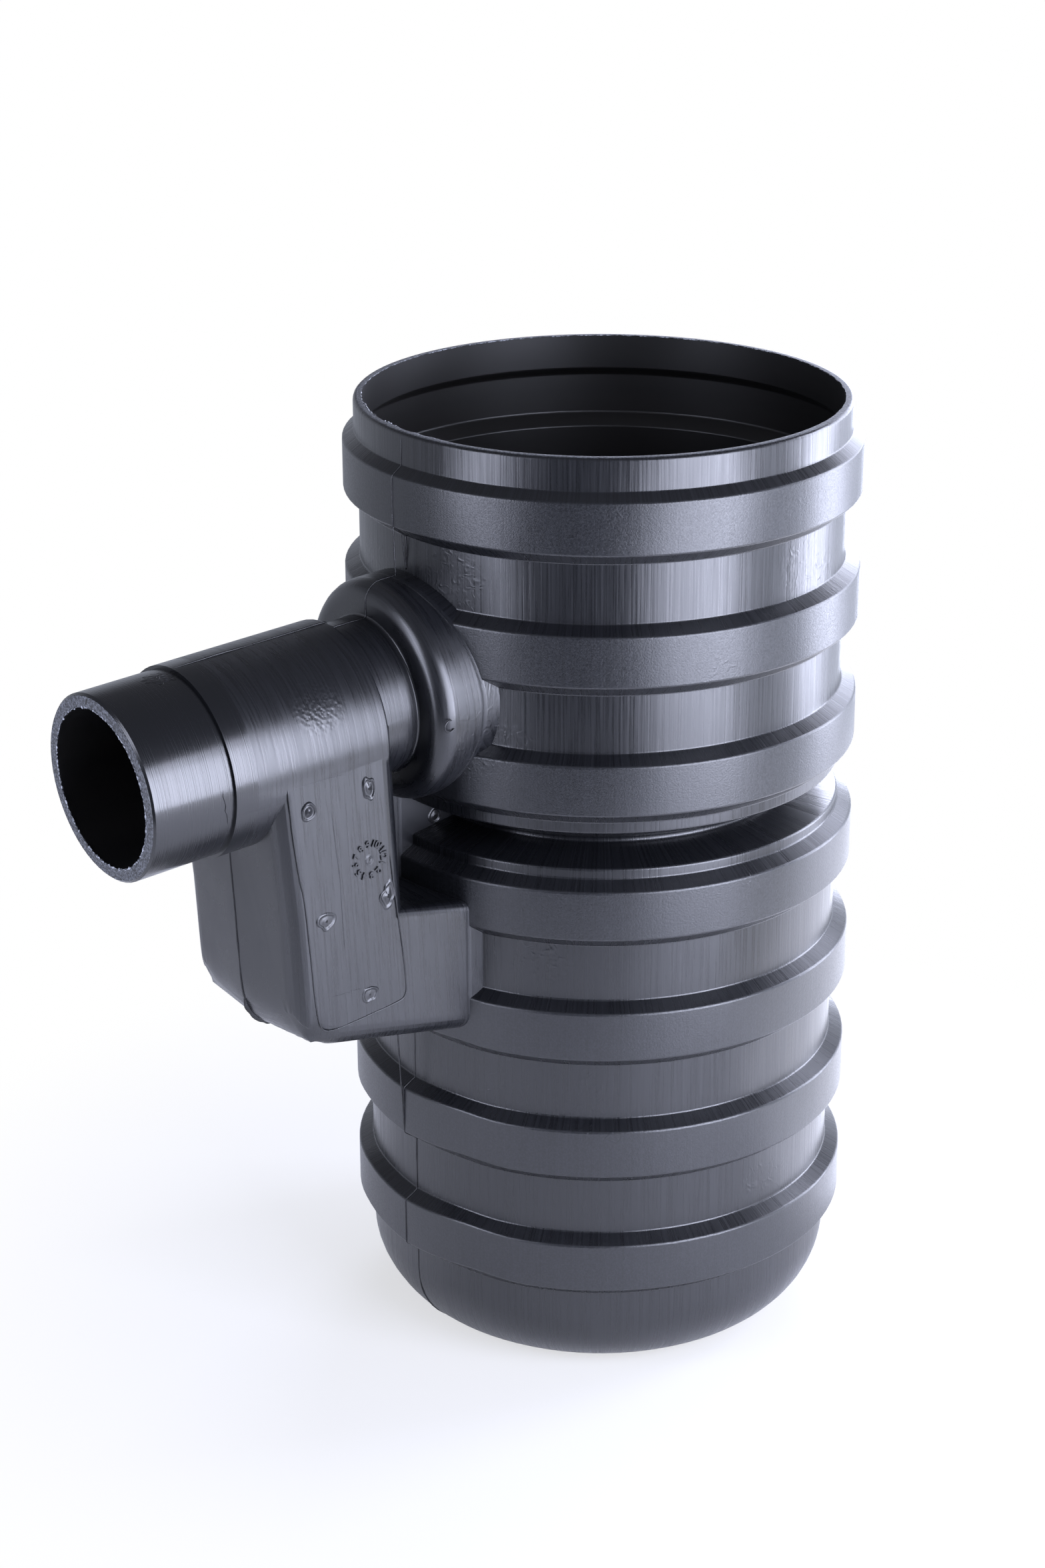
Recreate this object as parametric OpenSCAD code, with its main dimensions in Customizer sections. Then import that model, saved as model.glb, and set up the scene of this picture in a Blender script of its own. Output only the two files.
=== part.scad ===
// Trapped road gully pot, blow-moulded in one piece from polyethylene.
// Water falls into the ribbed pot, leaves it through a low port, climbs the trap leg
// and runs out of the spigot. A stopper, seated from inside, closes the rodding eye
// that runs straight from the pot to the spigot.
// Origin on the pot's axis, on the plane of its base. The outlet points along -X.

/* [Pot] */
// Height from the base to the cut rim
pot_height = 600; // [590:1:680]
// Diameter over the ribs
rib_diameter = 315; // [300:1:330]
// How far a rib stands out from the wall between the ribs
rib_depth = 9.3; // [5:0.1:11]
// Diameter of the plain lip above the first rib
lip_diameter = 301; // [298:0.5:304]
// Wall thickness of the pot
pot_wall = 5; // [3.5:0.1:6.5]
// Radius between the wall and the flat base
base_radius = 50; // [35:1:58]
// Rounding of the outer edge of the lip
lip_round = 2.5; // [1:0.1:3]

/* [Ribs] */
// Ribs above the waist groove
upper_ribs = 3; // [3:1:3]
// Ribs below the waist groove
lower_ribs = 4; // [3:1:4]
// Distance from one rib to the next, down to the first rib below the waist groove
rib_pitch = 78.7; // [76:0.1:80]
// Height of the plain foot below the lowest rib; the ribs between share what is left
foot_height = 65.8; // [62:0.1:78]
// Distance from the rim down to the top edge of the first rib's face
rim_to_rib = 24.5; // [18:0.5:28]
// Height of a rib's outer face
rib_face = 30.5; // [26:0.5:33]
// Height of the sloping flank above a rib's face
top_flank = 5.2; // [3:0.1:8]
// Height of the sloping flank below a rib's face
bottom_flank = 7; // [4:0.1:9]
// Rounding of the outer corners of a rib
rib_round = 2; // [1:0.1:2.4]
// Rounding where a rib's flank meets the wall
root_round = 1.5; // [0.8:0.1:2]

/* [Waist groove] */
// Diameter at the bottom of the groove
waist_diameter = 236; // [226:1:250]
// Straight wall between the third rib and the groove
collar_height = 7.1; // [4:0.1:9]
// Drop of the groove's upper flank
waist_upper_drop = 14.6; // [11:0.1:16]
// Flat at the bottom of the groove
waist_flat = 3; // [2:0.1:5]
// Drop of the groove's lower flank
waist_lower_drop = 5; // [3:0.1:8]

/* [Outlet] */
// Depth of the outlet's axis below the rim, on the pot's axis
outlet_depth = 149; // [145:1:153]
// Fall of the outlet away from the pot, in degrees
outlet_fall = 3; // [0:0.5:4]
// Diameter of the boss on the pot's wall
boss_diameter = 135; // [130:1:138]
// How far the boss and the neck sit above the outlet's axis
boss_rise = 5; // [2:0.5:6]
// How far the boss's front face stands out from the pot's wall
boss_reach = 27; // [24:0.5:34]
// Rounding of the boss's front edge
boss_round = 12; // [4:0.5:14]
// Wall thickness of the boss, the leg and the port
outlet_wall = 6; // [4.5:0.1:7]
// Bore of the rodding eye, through the boss and the neck
eye_bore = 86; // [82:0.5:88]
// Bore of the spigot
outlet_bore = 94; // [90:0.5:97]
// Wall of the short neck between the boss and the leg
neck_wall = 4.3; // [3:0.1:5]
// Length of the bare neck
neck_length = 22; // [18:0.5:28]
// Diameter of the moulded tube over the leg
tube_diameter = 114; // [112.5:0.5:118]
// Length of the moulded tube past the leg
tube_collar = 26.5; // [16:0.5:32]
// Diameter of the turned spigot
spigot_diameter = 110; // [108:0.5:111.5]
// Length of the turned spigot
spigot_length = 52.5; // [40:0.5:70]
// Chamfer on the spigot's end
spigot_chamfer = 1.5; // [0.5:0.1:3]

/* [Trap] */
// Width of the leg and the port, side to side
trap_width = 112; // [108:0.5:112]
// Depth of the leg, along the outlet
leg_depth = 84; // [76:1:92]
// Distance from the outlet's axis down to the leg's floor, at its front
leg_drop = 178; // [172:1:184]
// Slope of the port and the floor down towards the pot, in degrees
port_slope = 13; // [8:0.5:14]
// Height of the port, square to its slope
port_height = 86; // [80:1:92]
// Chamfer between the leg's front and its floor
toe_chamfer = 15; // [8:1:20]
// Rounding of the leg's upright edges
leg_round = 12; // [9:0.5:14]
// Rounding of the lower edges of the leg and the port
floor_round = 14; // [8:0.5:18]
// Rounding of the port's upper edges
port_round = 5; // [3:0.5:7]
// Thickness of the pinched web between the pot and the leg
web_thickness = 3.5; // [2.5:0.1:6]

/* [Stopper] */
// Gap between the stopper's barrel and the rodding eye
barrel_gap = 0.8; // [0.4:0.1:1.5]
// Gap between the seal ring and the rodding eye
seal_gap = 0.3; // [0.2:0.05:0.4]
// Gap between the flange and the boss's inner face
seat_gap = 0.3; // [0.2:0.05:0.5]
// How far the flange overlaps the rodding eye
flange_overlap = 12; // [8:0.5:15]
// Thickness of the flange
flange_thickness = 5; // [3:0.5:7]
// Length of the barrel in the eye
barrel_length = 24; // [18:0.5:28]
// Wall of the barrel and the stopper's end
barrel_wall = 3.5; // [2.5:0.5:5]
// Width of the seal ring
seal_width = 8; // [5:0.5:10]
// Depth of the groove that holds the seal ring
seal_depth = 2.2; // [1.5:0.1:2.4]
// Width of the handle across the flange
handle_width = 72; // [60:1:80]
// How far the handle stands out from the flange
handle_reach = 28; // [24:1:36]
// Thickness of the handle's bar
handle_bar = 9; // [6:0.5:11]

/* [Hidden] */
$fn = 96;

// Radii of the pot
rib_r = rib_diameter / 2;
wall_r = rib_r - rib_depth;
lip_r = lip_diameter / 2;
waist_r = waist_diameter / 2;

// Heights of the top edges of the ribs' faces, the ribs numbered from 0 below the rim:
// the first ones hang from the rim, and the rest are spread evenly down to the foot
first_lower = pot_height - rim_to_rib - upper_ribs * rib_pitch;
last_lower = foot_height + bottom_flank + rib_face;
lower_pitch = (first_lower - last_lower) / (lower_ribs - 1);
function rib_top(i) = i < upper_ribs
    ? pot_height - rim_to_rib - i * rib_pitch
    : first_lower - (i - upper_ribs) * lower_pitch;

// Heights round the waist groove, which hangs below the last upper rib
groove_top = rib_top(upper_ribs - 1) - rib_face - bottom_flank - collar_height;
groove_high = groove_top - waist_upper_drop;
groove_low = groove_high - waist_flat;
shoulder = groove_low - waist_lower_drop;

// Radii of the outlet
boss_r = boss_diameter / 2;
bore_r = outlet_bore / 2;
eye_r = eye_bore / 2;
neck_r = eye_r + neck_wall;
tube_r = tube_diameter / 2;
spigot_r = spigot_diameter / 2;
boss_inner_r = boss_r - outlet_wall;
tube_inner_r = tube_r - outlet_wall;
half_width = trap_width / 2;

// Stations along the outlet, measured from the pot's axis
outlet_z = pot_height - outlet_depth;
outlet_root = waist_r - pot_wall - 8;
boss_front = wall_r + boss_reach;
seat = boss_front - outlet_wall;
leg_back = boss_front + neck_length;
leg_front = leg_back + leg_depth;
tube_start = leg_back + outlet_wall;
neck_end = leg_back + leg_depth / 2;
spigot_start = leg_front + tube_collar;
spigot_end = spigot_start + spigot_length;

// The stopper's stations and radii
flange_front = seat - seat_gap;
flange_back = flange_front - flange_thickness;
flange_r = eye_r + flange_overlap;
barrel_r = eye_r - barrel_gap;
barrel_end = flange_front + barrel_length;
groove_r = barrel_r - seal_depth;
seal_mid = flange_front + barrel_length / 2;

// Points on a rounded corner b between a and c
function unit(v) = v / norm(v);
function arc_steps(r) = r > 20 ? 12 : r > 7 ? 6 : 3;
function rounded(a, b, c, r) =
    let (
        u = unit(a - b),
        v = unit(c - b),
        half = acos(u * v) / 2,
        centre = b + unit(u + v) * r / sin(half),
        from = b + u * r / tan(half) - centre,
        to = b + v * r / tan(half) - centre,
        turn = (from[0] * to[1] - from[1] * to[0]) > 0 ? 1 : -1,
        steps = arc_steps(r)
    )
    [for (k = [0:steps])
        let (t = turn * (180 - 2 * half) * k / steps)
        centre + [from[0] * cos(t) - from[1] * sin(t), from[0] * sin(t) + from[1] * cos(t)]];

// A loop's entries are [x, y, radius]: each corner is rounded by its radius, or kept at 0
function xy(p) = [p[0], p[1]];
function smooth(loop) =
    let (n = len(loop))
    [for (i = [0:n - 1])
        each (loop[i][2] <= 0)
            ? [xy(loop[i])]
            : rounded(xy(loop[(i + n - 1) % n]), xy(loop[i]), xy(loop[(i + 1) % n]), loop[i][2])];

// A path moved inwards by a wall: each corner goes along its mitre
function inward(a, b) = unit([b[1] - a[1], a[0] - b[0]]);
function inset_path(path, wall) =
    let (last = len(path) - 1)
    [for (i = [0:last])
        let (
            p = xy(path[i]),
            n1 = i == 0 ? inward(p, xy(path[1])) : inward(xy(path[i - 1]), p),
            n2 = i == last ? n1 : inward(p, xy(path[i + 1])),
            q = p + wall * (n1 + n2) / (1 + n1 * n2)
        )
        [q[0], q[1], path[i][2] > wall ? path[i][2] - wall : path[i][2]]];

// A rectangle as a loop, its two low corners and two high corners rounded
function box_loop(low, high, low_round, high_round) = [
    [low[0], low[1], low_round],
    [high[0], low[1], low_round],
    [high[0], high[1], high_round],
    [low[0], high[1], high_round]
];

// One rib's corners, from its upper root to its lower root
function rib(i, root_r) =
    let (z = rib_top(i))
    [
        [root_r, z + top_flank, root_round],
        [rib_r, z, rib_round],
        [rib_r, z - rib_face, rib_round],
        [wall_r, z - rib_face - bottom_flank, root_round]
    ];

// The outside of the pot below the rim's edge: lip, ribs, waist groove, ribs and foot
pot_side = [
    each rib(0, lip_r),
    for (i = [1:upper_ribs - 1]) each rib(i, wall_r),
    [wall_r, groove_top, root_round],
    [waist_r, groove_high, root_round],
    [waist_r, groove_low, root_round],
    [wall_r, shoulder, root_round],
    for (i = [upper_ribs:upper_ribs + lower_ribs - 1]) each rib(i, wall_r),
    [wall_r, 0, base_radius]
];

module pot_outside() {
    rotate_extrude($fn = 144)
        polygon(smooth([[0, pot_height, 0], [lip_r, pot_height, lip_round], each pot_side, [0, 0, 0]]));
}

// The same form, one wall further in and open through the rim
module pot_hollow() {
    above = pot_height + 1;
    inside = inset_path([[lip_r, above, 0], each pot_side, [0, 0, 0]], pot_wall);
    rotate_extrude($fn = 144)
        polygon(smooth([[0, above, 0], each inside]));
}

// Puts its children on the outlet's axis, which runs along -X and falls away from the pot
module on_outlet() {
    translate([0, 0, outlet_z])
        rotate([0, -outlet_fall, 0])
            children();
}

// Puts its children on the rodding eye's axis, which runs beside the outlet's
module on_eye() {
    translate([0, 0, boss_rise])
        children();
}

// Turns a loop of [radius, station, rounding] about the axis it stands on
module turned(loop) {
    rotate([0, -90, 0])
        rotate_extrude()
            polygon(smooth(loop));
}

// Boss and neck, turned about the eye's axis, then the tube and the turned spigot
module outlet_outside() {
    on_eye()
        turned([
            [0, outlet_root, 0],
            [boss_r, outlet_root, 0],
            [boss_r, boss_front, boss_round],
            [neck_r, boss_front, root_round],
            [neck_r, neck_end, 0],
            [0, neck_end, 0]
        ]);
    turned([
        [0, leg_back + 1, 0],
        [neck_r - boss_rise - 1, leg_back + 1, 0],
        [tube_r, tube_start, rib_round],
        [tube_r, spigot_start, 0],
        [spigot_r, spigot_start, 0],
        [spigot_r, spigot_end - spigot_chamfer, 0],
        [spigot_r - spigot_chamfer, spigot_end, 0],
        [0, spigot_end, 0]
    ]);
}

module outlet_hollow() {
    swell = tube_inner_r - bore_r;
    on_eye()
        turned([
            [0, outlet_root - 1, 0],
            [boss_inner_r, outlet_root - 1, 0],
            [boss_inner_r, seat, root_round],
            [eye_r, seat, 0],
            [eye_r, neck_end, 0],
            [0, neck_end, 0]
        ]);
    turned([
        [0, tube_start + 1, 0],
        [eye_r - boss_rise - 1, tube_start + 1, 0],
        [tube_inner_r, tube_start + outlet_wall, 0],
        [tube_inner_r, spigot_start - swell, 0],
        [bore_r, spigot_start, 0],
        [bore_r, spigot_end + 1, 0],
        [0, spigot_end + 1, 0]
    ]);
}

// A duct that slopes down to the pot along the trap's floor, from one station to another
module sloping_duct(from_front, length, height, inset, high_round) {
    side = half_width - inset;
    translate([-leg_front, 0, -leg_drop])
        rotate([0, port_slope, 0])
            translate([from_front, 0, 0])
                rotate([90, 0, 90])
                    linear_extrude(height = length)
                        polygon(smooth(box_loop(
                            [-side, inset], [side, height - inset],
                            floor_round - inset, max(high_round - inset, 0))));
}

// Everything on the inner side of the chamfer across the leg's toe
module behind_toe(inset) {
    a = [leg_front, toe_chamfer - leg_drop];
    b = [leg_front - toe_chamfer, -leg_drop - toe_chamfer * tan(port_slope)];
    along = unit(b - a);
    across = [along[1], -along[0]];
    reach = leg_drop + leg_depth;
    corners = [
        a + across * inset - along * reach,
        b + across * inset + along * reach,
        b + across * (inset + reach) + along * reach,
        a + across * (inset + reach) - along * reach
    ];
    rotate([90, 0, 0])
        linear_extrude(height = 2 * trap_width, center = true)
            polygon([for (p = corners) [-p[0], p[1]]]);
}

// The upright leg: four rounded edges, a sloping floor and a chamfered toe
module leg(inset, top) {
    side = half_width - inset;
    edge = leg_round - inset;
    intersection() {
        translate([0, 0, -2 * leg_drop])
            linear_extrude(height = 2 * leg_drop + top)
                polygon(smooth(box_loop(
                    [-leg_front + inset, -side], [-leg_back - inset, side], edge, edge)));
        sloping_duct(-leg_depth, 3 * leg_depth, 2 * leg_drop, inset, 0);
        behind_toe(inset);
    }
}

// The port between the leg and the pot, which starts halfway across the leg
module port(inset) {
    sloping_duct(leg_depth / 2, leg_front - outlet_root - leg_depth / 2, port_height, inset, port_round);
}

// The flat web pinched shut in the parting plane, between the pot's waist and the leg
module web() {
    port_top = -leg_drop - (leg_front - wall_r) * tan(port_slope) + port_height / cos(port_slope);
    low = outlet_z + port_top * cos(outlet_fall) - wall_r * sin(outlet_fall) - outlet_wall / 2;
    high = outlet_z - (boss_r - boss_rise) * cos(outlet_fall) - wall_r * sin(outlet_fall) + outlet_wall / 2;
    inner = waist_r - pot_wall / 2;
    outer = leg_back + outlet_wall / 2;
    translate([-outer, -web_thickness / 2, low])
        cube([outer - inner, web_thickness, high - low]);
}

module gully_pot() {
    // Where the leg's flat sides run into the round of the tube
    shoulder_z = sqrt(tube_r * tube_r - half_width * half_width);
    color("#1b1c1f")
        difference() {
            union() {
                pot_outside();
                web();
                on_outlet() {
                    outlet_outside();
                    leg(0, shoulder_z / 2);
                    port(0);
                }
            }
            pot_hollow();
            on_outlet() {
                outlet_hollow();
                leg(outlet_wall, 0);
                port(outlet_wall);
            }
        }
}

// Push-fit plug for the rodding eye, set in from the pot's side and drawn out by its handle
module rodding_stopper() {
    cup_r = groove_r - barrel_wall;
    half_groove = seal_width / 2;
    grip = handle_width / 2;
    color("#3b3d40")
        on_outlet()
        on_eye() {
            difference() {
                turned([
                    [0, flange_back, 0],
                    [flange_r, flange_back, 1],
                    [flange_r, flange_front, 1],
                    [barrel_r, flange_front, 0],
                    [barrel_r, seal_mid - half_groove, 0],
                    [groove_r, seal_mid - half_groove, 0],
                    [groove_r, seal_mid + half_groove, 0],
                    [barrel_r, seal_mid + half_groove, 0],
                    [barrel_r, barrel_end, 1],
                    [0, barrel_end, 0]
                ]);
                turned([
                    [0, flange_front, 0],
                    [cup_r, flange_front, root_round],
                    [cup_r, barrel_end + 1, 0],
                    [0, barrel_end + 1, 0]
                ]);
            }
            // The handle stands on the flange and loops into the pot
            translate([0, 0, -handle_bar / 2])
                linear_extrude(height = handle_bar)
                    difference() {
                        polygon(smooth(box_loop(
                            [-flange_back - 1, -grip], [-flange_back + handle_reach, grip], 0, 0)));
                        polygon(smooth(box_loop(
                            [-flange_back, handle_bar - grip],
                            [-flange_back + handle_reach - handle_bar, grip - handle_bar], 0, 0)));
                    }
        }
}

// Rubber ring with two lips, seated in the barrel's groove
module stopper_seal() {
    lip = eye_r - seal_gap;
    half = seal_width / 2;
    valley = (lip + groove_r) / 2;
    color("#101010")
        on_outlet()
        on_eye()
            turned([
                [groove_r, seal_mid - half, 0],
                [lip - 0.5, seal_mid - half, 0],
                [lip, seal_mid - half / 2, 0],
                [valley, seal_mid, 0],
                [lip, seal_mid + half / 2, 0],
                [lip - 0.5, seal_mid + half, 0],
                [groove_r, seal_mid + half, 0]
            ]);
}

gully_pot();
rodding_stopper();
stopper_seal();
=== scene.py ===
"""Dresses the gully trap: the moulded shell with its parting line, saw burrs and mould marks, the stopper with
its seal, then the floor, the light and the camera."""

import math
from functools import partial

import bpy
import numpy as np
from mathutils import Matrix, Vector
from mathutils.bvhtree import BVHTree


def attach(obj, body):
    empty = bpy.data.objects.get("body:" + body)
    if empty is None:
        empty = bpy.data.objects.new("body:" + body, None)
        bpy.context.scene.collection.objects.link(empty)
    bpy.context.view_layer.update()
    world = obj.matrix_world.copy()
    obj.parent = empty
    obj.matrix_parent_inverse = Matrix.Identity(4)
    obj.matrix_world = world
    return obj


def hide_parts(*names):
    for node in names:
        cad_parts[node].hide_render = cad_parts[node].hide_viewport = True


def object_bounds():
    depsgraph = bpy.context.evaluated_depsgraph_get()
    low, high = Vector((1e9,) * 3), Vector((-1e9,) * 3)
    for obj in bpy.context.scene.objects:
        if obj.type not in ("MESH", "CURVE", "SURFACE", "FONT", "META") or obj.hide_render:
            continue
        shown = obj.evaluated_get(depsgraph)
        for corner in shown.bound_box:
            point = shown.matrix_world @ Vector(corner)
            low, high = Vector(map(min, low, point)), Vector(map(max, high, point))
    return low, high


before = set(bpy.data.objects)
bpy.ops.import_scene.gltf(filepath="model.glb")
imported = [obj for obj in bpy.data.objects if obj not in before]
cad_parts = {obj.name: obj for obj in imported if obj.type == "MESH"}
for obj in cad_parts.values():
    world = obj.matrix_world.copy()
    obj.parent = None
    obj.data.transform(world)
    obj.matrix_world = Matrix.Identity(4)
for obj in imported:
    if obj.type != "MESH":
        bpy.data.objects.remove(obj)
low_start, high_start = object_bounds()

# ---------------------------------------------------------------- sizes the part is built to, in metres
MM = 0.001
OUTLET_Z = 451.0 * MM  # height at which the outlet's axis meets the pot's axis
OUTLET_FALL = math.radians(3.0)  # the outlet slopes down this much
BOX_SIDE = 56.0 * MM  # half the width of the leg under the outlet
WEB_SIDE = 1.75 * MM  # half the thickness of the web
LEG_FRONT = 281.2 * MM  # the leg's front face, along the outlet
LEG_DROP = 178.0 * MM  # from the outlet's axis down to the leg's floor, at its front
FLOOR_SLOPE = math.radians(13.0)  # the leg's floor falls towards the pot
DRAFT = math.radians(3.0)  # the mould's draft
SPIGOT_END = 360.2 * MM
RIM_Z = 600.0 * MM
RIM_BORE = 145.5 * MM
SHARP = math.radians(32)  # an edge that turns by more than this stays sharp

# These are in millimetres, as at_outlet and on_round take them.
BOSS_RISE = 5.0  # the boss's axis lies this much above the outlet's
BOSS_RADIUS = 67.5
SPIGOT_RADIUS = 55.0
SPIGOT_BORE = 47.0
FLAT_SIDE = -BOX_SIDE / MM  # y of the leg's flat side, the one with the marks
WEB_FACE = -WEB_SIDE / MM  # y of the web's face on that side

c_fall, s_fall = math.cos(OUTLET_FALL), math.sin(OUTLET_FALL)
ALONG = np.array([-c_fall, 0.0, -s_fall])  # out of the pot along the outlet
RISE = np.array([-s_fall, 0.0, c_fall])  # square to the outlet, upwards
ACROSS = np.array([0.0, 1.0, 0.0])
NEAR = np.array([0.0, -1.0, 0.0])  # out of the leg's flat side
ROOT = np.array([0.0, 0.0, OUTLET_Z])


def at_outlet(l, y, v):
    """The point l along the outlet, y across it and v above its axis, all in millimetres: the root plus l times
    the way along, y times the way across and v times the way up."""
    l, y, v = np.broadcast_arrays(*(np.asarray(a, float) * MM for a in (l, y, v)))
    return ROOT + l[..., None] * ALONG + y[..., None] * ACROSS + v[..., None] * RISE


def on_round(l, turn, radius, rise=0.0):
    """A point on a round about the outlet's axis, or about a line above it by rise: y is minus radius times the
    cosine of the turn and v is rise plus radius times its sine. 0 degrees is the near side and 90 the top."""
    a = np.radians(turn)
    return at_outlet(l, -np.asarray(radius) * np.cos(a), rise + np.asarray(radius) * np.sin(a))


def boxed(points):
    """The points, held inside the part's box."""
    return np.clip(points, low_start, high_start)


# ---------------------------------------------------------------- meshes from arrays
def placed(name, data):
    """A new object with this data, linked to the scene."""
    thing = bpy.data.objects.new(name, data)
    bpy.context.scene.collection.objects.link(thing)
    return thing


def mesh_object(name, points, faces, material, body="pot", smooth=True):
    """An object at the origin whose mesh is exactly these points and faces."""
    mesh = bpy.data.meshes.new(name)
    mesh.from_pydata(points.reshape(-1, 3).tolist(), [], faces if isinstance(faces, list) else faces.tolist())
    mesh.polygons.foreach_set("use_smooth", [smooth] * len(mesh.polygons))
    mesh.materials.append(material)
    mesh.update()
    piece = placed(name, mesh)
    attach(piece, body)
    return piece


def read_points(mesh):
    """A mesh's points, as rows of x, y and z."""
    points = np.empty(len(mesh.vertices) * 3)
    mesh.vertices.foreach_get("co", points)
    return points.reshape(-1, 3)


def read_triangles(mesh):
    """A mesh's triangles, as rows of three point numbers."""
    mesh.calc_loop_triangles()
    corners = np.empty(len(mesh.loop_triangles) * 3, int)
    mesh.loop_triangles.foreach_get("vertices", corners)
    return corners.reshape(-1, 3)


def grid_faces(rows, cols, wrap_cols=False, first=0):
    """Quads of a rows by cols grid of points, wrapped round its columns if asked."""
    i = np.arange(rows - 1)[:, None]
    j = np.arange(cols if wrap_cols else cols - 1)[None, :]
    k = (j + 1) % cols
    quads = np.stack([i * cols + j, i * cols + k, (i + 1) * cols + k, (i + 1) * cols + j], -1)
    return quads.reshape(-1, 4) + first


def unit(a):
    """Each way, divided by its own length."""
    return a / np.maximum(np.linalg.norm(a, axis=-1, keepdims=True), 1e-12)


def smoothstep(value, low, high):
    """0 up to low, 1 from high, and 3 t^2 - 2 t^3 between them, where t is the share of the way."""
    t = np.clip((value - low) / (high - low), 0, 1)
    return t * t * (3 - 2 * t)


def drift(n, seed, reach):
    """A smooth random run of n values between -1 and 1: random knots about `reach` steps apart, joined by
    3 f^2 - 2 f^3, where f is the share of the way from one to the next."""
    rng = np.random.default_rng(seed)
    knots = rng.uniform(-1, 1, max(4, int(n / reach) + 4))
    where = np.linspace(0, len(knots) - 1.001, n)
    i = where.astype(int)
    f = smoothstep(where - i, 0, 1)
    return knots[i] * (1 - f) + knots[np.minimum(i + 1, len(knots) - 1)] * f


def even_run(points, normals, pitch):
    """The same path walked in equal steps of about `pitch`, its normals averaged over five steps."""
    far = np.concatenate([[0], np.cumsum(np.linalg.norm(np.diff(points, axis=0), axis=1))])
    at = np.linspace(0, far[-1], max(int(far[-1] / pitch), 8))
    points = np.stack([np.interp(at, far, points[:, k]) for k in range(3)], -1)
    normals = np.stack([np.interp(at, far, normals[:, k]) for k in range(3)], -1)
    padded = np.pad(normals, ((2, 2), (0, 0)), mode="edge")
    return points, unit(np.stack([np.convolve(padded[:, k], np.ones(5) / 5, "valid") for k in range(3)], -1))


def even_line(points, way, pitch):
    """The same path walked in equal steps, with one way as the normal all along it."""
    return even_run(points, np.broadcast_to(way, points.shape), pitch)


def swept(points, across, out, half_width, height, lift=0.0):
    """Elliptical sections of eight points along a path: the path's point plus half_width cos t across and
    height (sin t + lift) outwards, at turn t."""
    turn = np.linspace(0, 2 * np.pi, 8, endpoint=False)
    ring = points[:, None] + across[:, None] * (half_width[:, None] * np.cos(turn))[..., None]
    return ring + out[:, None] * (height[:, None] * np.sin(turn) + lift * height[:, None])[..., None]


def bead(points, normals, half_width, height, taper=6):
    """A raised line along a path: its section is an ellipse, nearly half of it sunk in the skin, that shrinks
    to a point over `taper` steps at both ends."""
    n = len(points)
    along = unit(np.gradient(points, axis=0))
    normals = unit(normals - (normals * along).sum(-1, keepdims=True) * along)
    ends = np.clip(np.minimum(np.arange(n), np.arange(n)[::-1]) / taper, 0.02, 1)
    half_width = np.broadcast_to(half_width, n) * ends
    height = np.broadcast_to(height, n) * ends
    return swept(points, np.cross(along, normals), normals, half_width, height, 0.1)


def outward(piece):
    """Turns a closed mesh's faces outwards by the sign of its volume."""
    a, b, c = read_points(piece.data)[read_triangles(piece.data)].transpose(1, 0, 2)
    if (np.cross(a, b) * c).sum() < 0:
        piece.data.flip_normals()


def bead_mesh(name, beads, material):
    """One mesh of several beads, each closed with a cap at both ends."""
    points, faces, first = [], [], 0
    for sections in beads:
        rows, cols = sections.shape[:2]
        points.append(sections.reshape(-1, 3))
        faces += grid_faces(rows, cols, True, first).tolist()
        faces.append([first + j for j in range(cols)][::-1])
        faces.append([first + (rows - 1) * cols + j for j in range(cols)])
        first += rows * cols
    outward(mesh_object(name, np.concatenate(points), faces, material))


def ring_mesh(name, sections, material):
    """A closed ring of sections as one mesh, in which the last row joins the first."""
    rows, cols = sections.shape[:2]
    faces = grid_faces(rows + 1, cols, True) % (rows * cols)
    outward(mesh_object(name, boxed(sections), faces, material))


def mark_mesh(name, marks, material):
    """One mesh of several round marks. Each is a grid of rows from its centre out by columns round it, and its
    first row is drawn as one point."""
    points, faces, first = [], [], 0
    for grid in marks:
        rows, cols = grid.shape[:2]
        points.append(np.concatenate([grid[0].mean(0)[None], grid[1:].reshape(-1, 3)]))
        j = np.arange(cols)
        faces += (first + np.stack([0 * j, 1 + j, 1 + (j + 1) % cols], -1)).tolist()
        faces += grid_faces(rows - 1, cols, True, first + 1).tolist()
        first += 1 + (rows - 1) * cols
    mesh_object(name, np.concatenate(points), faces, material)


# ---------------------------------------------------------------- materials
def linear(code):
    """A colour written as sRGB hex, turned to linear light."""
    parts = np.array([int(code[i : i + 2], 16) for i in (0, 2, 4)]) / 255.0
    low = parts / 12.92
    high = ((parts + 0.055) / 1.055) ** 2.4
    return tuple(np.where(parts <= 0.04045, low, high).tolist()) + (1.0,)


# A Mix node's sockets by number, as numbers, ways and colours share their names, and its settings for the last
# two. Then the setting of a MapRange that eases.
SHARE, A_NUMBER, B_NUMBER, A_WAY, B_WAY, A_COLOUR, B_COLOUR = 0, 2, 3, 4, 5, 6, 7
WAYS = {"output": 1, "data_type": "VECTOR"}
COLOURS = {"output": 2, "data_type": "RGBA"}
EASED = {"interpolation_type": "SMOOTHSTEP"}


def feed(node, inputs):
    """Sets or links a node's inputs, by order or by name."""
    for key, value in inputs.items() if isinstance(inputs, dict) else enumerate(inputs):
        if isinstance(value, bpy.types.NodeSocket):
            node.id_data.links.new(value, node.inputs[key])
        else:
            node.inputs[key].default_value = value


def add(tree, kind, inputs=(), output=0, **settings):
    """Adds one node with its settings and inputs, and gives back one of its outputs if it has any."""
    node = tree.nodes.new("ShaderNode" + kind)
    for key, value in settings.items():
        setattr(node, key, value)
    feed(node, inputs)
    return node.outputs[output] if node.outputs else None


def cleared(owner):
    """Empties the nodes of a material or a world, and gives back the way to add nodes to it."""
    owner.use_nodes = True
    owner.node_tree.nodes.clear()
    return partial(add, owner.node_tree)


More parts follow.
